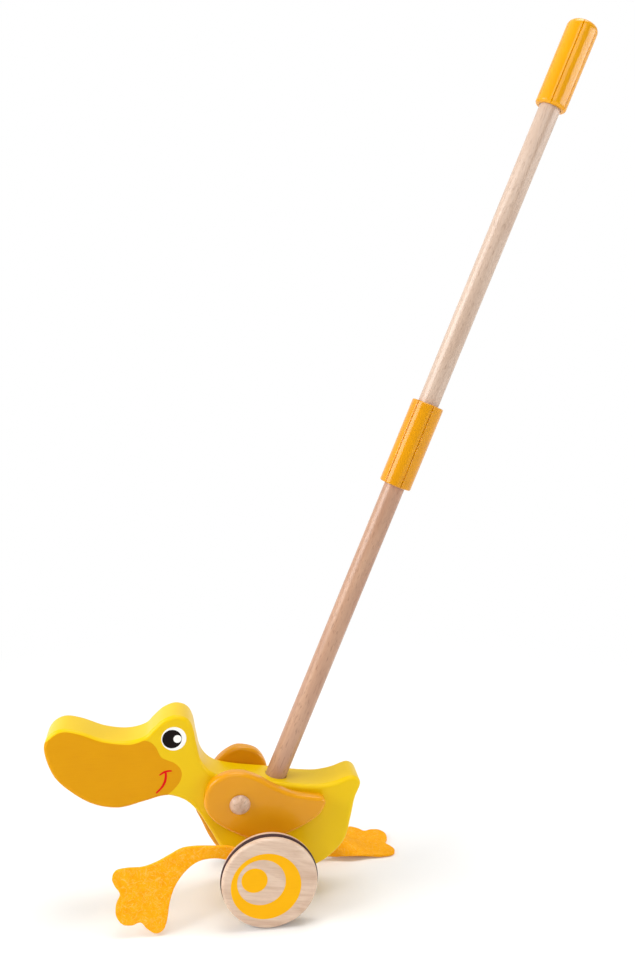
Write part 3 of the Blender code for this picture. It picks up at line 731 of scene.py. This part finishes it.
for side, outward in sides.items():
    facing = (-outward * math.pi / 2, 0, 0)
    disc = turnOnLathe("wheel_" + side, wheelRings(), wheel["segments"])
    smoothOver(disc)
    place(disc, axle, facing)
    finishPiece(disc, "wheel_set", wheelBeech)
    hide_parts(side + "_wheel")

    tyre = mouldRing("tyre_" + side)
    smoothOver(tyre)
    place(tyre, axle + Vector((0, outward * wheel["middle"], 0)), facing)
    finishPiece(tyre, "wheel_set", rubberDark)
    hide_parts(side + "_tyre")

    rings = roundRim(spacer["inner"], spacer["radius"], spacer["rim"], True)
    rings += roundRim(spacer["outer"], spacer["radius"], spacer["rim"], False)
    collar = turnOnLathe("spacer_" + side, rings, spacer["segments"])
    drill(collar, spacer["bore"], (0, 0, 0), (0, 0, 2 * spacer["outer"]))
    smoothOver(collar)
    place(collar, axle, facing)
    finishPiece(collar, "wheel_set", wheelBeech)
    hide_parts(side + "_spacer")

    circles = [circleKnots(*spots[name], spots["knots"]) for name in ("disc", "hole")]
    layInk("wheel_disc_print_" + side, circles, outward, wheel["outer"], ink, "wheel_set", wheelInk)
    dot = [circleKnots(*spots["dot"])]
    layInk("wheel_dot_print_" + side, dot, outward, wheel["outer"], ink, "wheel_set", wheelInk)
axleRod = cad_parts["axle"]
axleRod.data.materials.clear()
axleRod.data.materials.append(steel)
print("wheels turned")


# heights are along the stick, from where it leaves the duck's back
stick = {
    "radius": 0.0064,
    "chamfer": 0.001,
    "lower": (-0.030, 0.2200),
    "upper": (0.2236, 0.4779),
    "segments": 64,
}
sleeve = {
    "radius": 0.0098,
    "start": 0.1954,
    "end": 0.2482,
    "rim": 0.0008,
    "rimSteps": 4,
    "bore": 0.0067,
    "seats": (0.2203, 0.2233),           # the rods end here, with a wall between them
    "firstFlute": -82.5,                 # degrees round the stick
}
grip = {
    "radius": 0.00937,
    "start": 0.4335,
    "end": 0.48415,
    "lip": 0.0015,
    "lipSteps": 6,
    "shoulder": 0.004,
    "shoulderSteps": 10,
    "bore": 0.0067,
    "seat": 0.4782,
    "firstFlute": -110.0,
}
flute = {
    "count": 6,
    "depth": 0.0006,
    "segments": 144,
    "reach": 0.86,                       # only outside this share of the radius, so sockets stay round
}


# pulls in a few lengthwise lines of a tube
def cutFlutes(obj, radius, firstFlute):
    pitch = 360 / flute["count"]
    near = 180 / flute["segments"]

    def onFlute(vert):
        angle = math.degrees(math.atan2(vert.co.y, vert.co.x)) - firstFlute
        off = (angle + pitch / 2) % pitch - pitch / 2
        return abs(off) < near and vert.co.xy.length > radius * flute["reach"]

    activate(obj)
    bpy.ops.object.mode_set(mode="EDIT")
    pick(obj, "EDGE", lambda edge: all(onFlute(vert) for vert in edge.verts))
    shrink = 1 - flute["depth"] / radius
    bpy.ops.transform.resize(value=(shrink, shrink, 1), center_override=(0, 0, 0))
    bpy.ops.object.mode_set(mode="OBJECT")


def rodRings(start, end):
    radius, chamfer = stick["radius"], stick["chamfer"]
    return [
        (start, radius - chamfer), (start + chamfer, radius),
        (end - chamfer, radius), (end, radius - chamfer),
    ]


stickFoot = axle + stickEntry
for name, wood in (("lower", lowerBeech), ("upper", upperBeechPaleAndLit)):
    rod = turnOnLathe("stick_" + name, rodRings(*stick[name]), stick["segments"])
    smoothOver(rod)
    place(rod, stickFoot, stickTurn)
    finishPiece(rod, "duck", wood)
    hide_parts(name + "_stick")

rings = [(sleeve["seats"][0], sleeve["bore"]), (sleeve["start"], sleeve["bore"])]
rings += roundRim(sleeve["start"], sleeve["radius"], sleeve["rim"], True, sleeve["rimSteps"])
rings += roundRim(sleeve["end"], sleeve["radius"], sleeve["rim"], False, sleeve["rimSteps"])
rings += [(sleeve["end"], sleeve["bore"]), (sleeve["seats"][1], sleeve["bore"])]
tube = turnOnLathe("joining_sleeve", rings, flute["segments"])
cutFlutes(tube, sleeve["radius"], sleeve["firstFlute"])
smoothOver(tube)
place(tube, stickFoot, stickTurn)
finishPiece(tube, "duck", sleevePlasticShadedCopy)
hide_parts("stick_sleeve")

rings = [(grip["seat"], grip["bore"]), (grip["start"], grip["bore"])]
rings += roundRim(grip["start"], grip["radius"], grip["lip"], True, grip["lipSteps"])
rings += roundRim(grip["end"], grip["radius"], grip["shoulder"], False, grip["shoulderSteps"])
cap = turnOnLathe("hand_grip", rings, flute["segments"])
cutFlutes(cap, grip["radius"], grip["firstFlute"])
smoothOver(cap)
place(cap, stickFoot, stickTurn)
finishPiece(cap, "duck", gripPlasticLitCopy)
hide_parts("grip_cap")
print("stick joined")


# a flat felt pattern, first along the leg and then across it, from the axle
felt = {
    "thickness": 0.002,
    "rim": 0.0004,
    "middle": 0.0297,                    # from the board's middle plane, between spacer and wheel
    "hole": 0.0033,
    "cell": 0.0016,                      # the sheet is cut into squares of this size, so that it bends
    "loopSteps": 6,
    "rimSegments": 2,
    "sharp": 1.2,                        # radians, edges sharper than this are rounded
    "smooth": 50,                        # degrees
    "weld": 0.000001,
    "legLine": 0.016,                    # the line along the leg that the foot turns about
    "legLineFall": 0.28,                 # how fast that line falls, past the start of the bend
    "bendStart": 0.040,
    "bendLength": 0.050,
    "bendSlant": 0.8,                    # the toe side turns before the upper edge
    "outline": [
        (0.0022, 0.0094), (-0.0052, 0.0081), (-0.0094, 0.0018), (-0.0078, -0.0055), (-0.0015, -0.0095),
        (0.0060, -0.0074), (0.0120, 0.0010), (0.0195, 0.0085), (0.0275, 0.0124), (0.0360, 0.0131),
        (0.0430, 0.0112), (0.0500, 0.0056), (0.0555, -0.0020), (0.0586, -0.0104), (0.0603, -0.0201),
        (0.0626, -0.0262), (0.0672, -0.0281), (0.0722, -0.0249), (0.0758, -0.0210), (0.0808, -0.0222),
        (0.0862, -0.0212), (0.0897, -0.0161), (0.0898, -0.0097), (0.0874, -0.0034), (0.0902, 0.0015),
        (0.0917, 0.0061), (0.0894, 0.0103), (0.0830, 0.0114), (0.0740, 0.0113), (0.0660, 0.0135),
        (0.0580, 0.0174), (0.0510, 0.0208), (0.0430, 0.0215), (0.0320, 0.0207), (0.0220, 0.0196),
        (0.0110, 0.0148),
    ],
    "left": {
        "outward": -1, "legTurn": 0.0, "fold": math.radians(9.0), "foldPlace": 0.0297,
        "foldLevel": 0.016, "held": "hung", "restsOn": ["wheel_left"],
    },
    "right": {
        "outward": 1, "legTurn": math.radians(6.5), "fold": math.radians(90.0), "foldPlace": 0.0215,
        "foldLevel": 0.0278, "held": "laid", "restsOn": ["wheel_right", "floor"],
    },
}


# points along the same curve that the saw follows
def smoothLoop(knots):
    steps = felt["loopSteps"]
    loop = []
    points = [Vector(knot) for knot in knots]
    for i, knot in enumerate(points):
        before, after = points[i - 1], points[(i + 1) % len(points)]
        beyond = points[(i + 2) % len(points)]
        leave, arrive = knot + (after - before) / handlePart, after - (beyond - knot) / handlePart
        for step in range(steps):
            t = step / steps
            s = 1 - t
            loop.append(
                knot * s ** 3 + leave * 3 * t * s ** 2 + arrive * 3 * t ** 2 * s + after * t ** 3)
    return loop


def ease(share):
    share = max(0.0, min(1.0, share))
    return share * share * (3 - 2 * share)


# flat at the wheel, then turned along the leg until the foot lies at its fold
def feltPoint(pose, along, through, across):
    legTurn, fold, legLine = pose["legTurn"], pose["fold"], felt["legLine"]
    bent = along + felt["bendSlant"] * (legLine - across) - felt["bendStart"]
    share = ease(bent / felt["bendLength"])
    turn, lean = fold * share, legTurn * (1 - share)
    line = legLine - felt["legLineFall"] * max(0.0, along - felt["bendStart"])
    hung = Vector((
        along * math.cos(legTurn) - line * math.sin(legTurn),
        felt["middle"],
        along * math.sin(legTurn) + line * math.cos(legTurn),
    ))
    laid = Vector((
        along,
        pose["foldPlace"] + (legLine - line) * math.sin(fold),
        pose["foldLevel"] + (line - legLine) * math.cos(fold),
    ))
    acrossWay = Vector((-math.sin(lean), -math.sin(turn), math.cos(turn) * math.cos(lean)))
    outWay = Vector((0, math.cos(turn), math.sin(turn)))
    return hung.lerp(laid, share) + acrossWay * (across - line) + outWay * through


# the flat pattern, cut, thickened, rounded and divided, then bent into its pose
def cutFelt(name, pose, loop):
    mesh = bmesh.new()
    hole = [Vector(knot) for knot in circleKnots(0, 0, felt["hole"])]
    edges = []
    for points in (loop, hole):
        verts = [mesh.verts.new((p.x, -felt["thickness"] / 2, p.y)) for p in points]
        edges += [mesh.edges.new((verts[i - 1], verts[i])) for i in range(len(verts))]
    bmesh.ops.triangle_fill(mesh, edges=edges, use_beauty=True)
    flatArea = sum(f.calc_area() for f in mesh.faces)
    grown = bmesh.ops.extrude_face_region(mesh, geom=mesh.faces[:])["geom"]
    lifted = [part for part in grown if isinstance(part, bmesh.types.BMVert)]
    bmesh.ops.translate(mesh, verts=lifted, vec=(0, felt["thickness"], 0))
    bmesh.ops.recalc_face_normals(mesh, faces=mesh.faces[:])
    rims = [e for e in mesh.edges if len(e.link_faces) == 2 and e.calc_face_angle() > felt["sharp"]]
    bmesh.ops.bevel(
        mesh, geom=rims, offset=felt["rim"], segments=felt["rimSegments"], profile=0.5, affect="EDGES")
    for axisIndex, values in ((0, [p.x for p in loop]), (2, [p.y for p in loop])):
        cuts = int((max(values) - min(values)) / felt["cell"])
        for cut in range(1, cuts + 1):
            spot, normal = [0, 0, 0], [0, 0, 0]
            spot[axisIndex] = min(values) + felt["cell"] * cut
            normal[axisIndex] = 1
            bmesh.ops.bisect_plane(
                mesh, geom=mesh.verts[:] + mesh.edges[:] + mesh.faces[:], dist=felt["weld"],
                plane_co=spot, plane_no=normal)
    bmesh.ops.triangulate(mesh, faces=[f for f in mesh.faces if len(f.verts) > 4])
    flatPlace = mesh.verts.layers.float_vector.new("flatPlace")
    outward = pose["outward"]
    for vert in mesh.verts:
        vert[flatPlace] = vert.co
        bent = feltPoint(pose, *vert.co)
        vert.co = axle + Vector((bent.x, bent.y, -bent.z)) * outward
    bmesh.ops.recalc_face_normals(mesh, faces=mesh.faces[:])
    made = bpy.data.meshes.new(name)
    mesh.to_mesh(made)
    mesh.free()
    obj = bpy.data.objects.new(name, made)
    bpy.context.scene.collection.objects.link(obj)
    activate(obj)
    bpy.ops.object.shade_smooth_by_angle(angle=math.radians(felt["smooth"]))
    return obj, flatArea


footLoop = smoothLoop(felt["outline"])
for side in sides:
    pose = felt[side]
    foot, flatArea = cutFelt("felt_foot_" + side, pose, footLoop)
    finishPiece(foot, "wheel_set", feltOrange)
    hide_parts(side + "_foot")


studio = {
    "white": "#FFFFFF",
    "floorSize": 12.0,
    "floorColour": "#F8F7F5",
    "floorDust": "#FBFBFA",
    "dustSize": 0.3,
    "whiteFrom": 0.05,                   # the floor turns to plain white between these distances
    "whiteBy": 0.55,
    "roomFront": 0.30,                   # brightness of the room behind the camera; the backdrop has 1
    "roomTurn": 0.4,                     # how far to each side the one passes into the other
    "roomFill": 0.30,                    # how much of the room's brightness falls on things
    "lamps": {
        "softboxLeft": {
            "at": (-1.75, -0.36, 1.08), "aim": (0, 0, 0.30), "size": (1.5, 1.3), "watts": 35.0},
        "softboxRight": {
            "at": (2.03, -0.68, 0.62), "aim": (0.15, 0, 0.50), "size": (2.3, 0.5), "watts": 19.0},
        "softboxFront": {
            "at": (-0.20, -2.30, 1.80), "aim": (0, 0, 0.15), "size": (1.8, 1.3), "watts": 18.0},
        "softboxTop": {
            "at": (0.30, 0.10, 2.50), "aim": (0.05, 0, 0.10), "size": (1.25, 1.65), "watts": 35.0},
    },
}

bpy.ops.object.select_all(action="DESELECT")
bpy.ops.mesh.primitive_plane_add(size=studio["floorSize"], location=(0, 0, 0))
floor = bpy.context.object
floor.name = floor.data.name = "floor"
floorMaterial, tree, shader = newMaterial("paleFloor")
spot = addNode(tree, "TexCoord").outputs["Object"]
dust = addNode(tree, "TexNoise", {"Vector": spot, "Scale": 1 / studio["dustSize"], "Detail": 2.0})
tone = addNode(tree, "Mix", {
    mixShare: dust.outputs["Fac"], mixFrom: hexColour(studio["floorColour"]),
    mixTo: hexColour(studio["floorDust"])}, data_type="RGBA")
setInputs(tree, shader, {
    "Base Color": tone.outputs[mixResult],
    "Roughness": 0.9,
    "Specular IOR Level": 0.1,
})
# far from the toy the floor is seen as plain white, so that it meets the backdrop with no line
away = addNode(tree, "VectorMath", {0: spot}, operation="LENGTH")
farShare = addNode(tree, "MapRange", {
    "Value": away.outputs["Value"], "From Min": studio["whiteFrom"], "From Max": studio["whiteBy"]},
    interpolation_type="SMOOTHSTEP")
path = addNode(tree, "LightPath").outputs
straight = addNode(tree, "Math", {
    0: path["Is Camera Ray"], 1: path["Is Glossy Ray"]}, operation="MAXIMUM")
seen = addNode(tree, "Math", {
    0: straight.outputs[0], 1: path["Is Transmission Ray"]}, operation="MAXIMUM")
share = addNode(tree, "Math", {0: farShare.outputs[0], 1: seen.outputs[0]}, operation="MULTIPLY")
plainWhite = addNode(tree, "Emission", {"Color": hexColour(studio["white"]), "Strength": 1.0})
blend = addNode(tree, "MixShader", {
    0: share.outputs[0], 1: shader.outputs[0], 2: plainWhite.outputs[0]})
tree.links.new(blend.outputs[0], tree.nodes["Material Output"].inputs["Surface"])
floorMaterial.cycles.emission_sampling = "NONE"      # the white is only seen, and lights nothing
floor.data.materials.append(floorMaterial)

world = bpy.data.worlds.new("studio")
bpy.context.scene.world = world
world.use_nodes = True
tree = world.node_tree
tree.nodes.clear()
way = addNode(tree, "SeparateXYZ", {0: addNode(tree, "TexCoord").outputs["Generated"]})
room = addNode(tree, "MapRange", {
    "Value": way.outputs["Y"], "From Min": -studio["roomTurn"], "From Max": studio["roomTurn"],
    "To Min": studio["roomFront"], "To Max": 1.0})
path = addNode(tree, "LightPath").outputs
straight = addNode(tree, "Math", {
    0: path["Is Camera Ray"], 1: path["Is Transmission Ray"]}, operation="MAXIMUM")
fill = addNode(tree, "MapRange", {
    "Value": path["Is Glossy Ray"], "To Min": studio["roomFill"], "To Max": 1.0})
lit = addNode(tree, "Math", {0: room.outputs[0], 1: fill.outputs[0]}, operation="MULTIPLY")
level = addNode(tree, "MapRange", {
    "Value": straight.outputs[0], "To Min": lit.outputs[0], "To Max": 1.0})
sky = addNode(tree, "Background", {"Color": hexColour(studio["white"]), "Strength": level.outputs[0]})
addNode(tree, "OutputWorld", {"Surface": sky.outputs[0]})

for name, lamp in studio["lamps"].items():
    light = bpy.data.lights.new(name, "AREA")
    light.shape = "RECTANGLE"
    light.size, light.size_y = lamp["size"]
    light.energy = lamp["watts"]
    holder = bpy.data.objects.new(name, light)
    bpy.context.scene.collection.objects.link(holder)
    holder.location = lamp["at"]
    towards = Vector(lamp["aim"]) - Vector(lamp["at"])
    holder.rotation_euler = towards.to_track_quat("-Z", "Y").to_euler()

view = {
    "fromAxle": (-0.0460, -0.5553, 0.3227),
    "pitch": 81.08,                      # degrees
    "yaw": -8.21,
    "lens": 35.70,                       # millimetres
    "sensor": 36.0,
    "clipStart": 0.01,
}
cameraData = bpy.data.cameras.new("camera")
cameraData.lens = view["lens"]
cameraData.sensor_width = view["sensor"]
cameraData.clip_start = view["clipStart"]
camera = bpy.data.objects.new("camera", cameraData)
bpy.context.scene.collection.objects.link(camera)
camera.location = axle + Vector(view["fromAxle"])
camera.rotation_euler = (math.radians(view["pitch"]), 0, math.radians(view["yaw"]))
bpy.context.scene.camera = camera
bpy.context.scene.view_settings.view_transform = "Standard"
print("studio set")
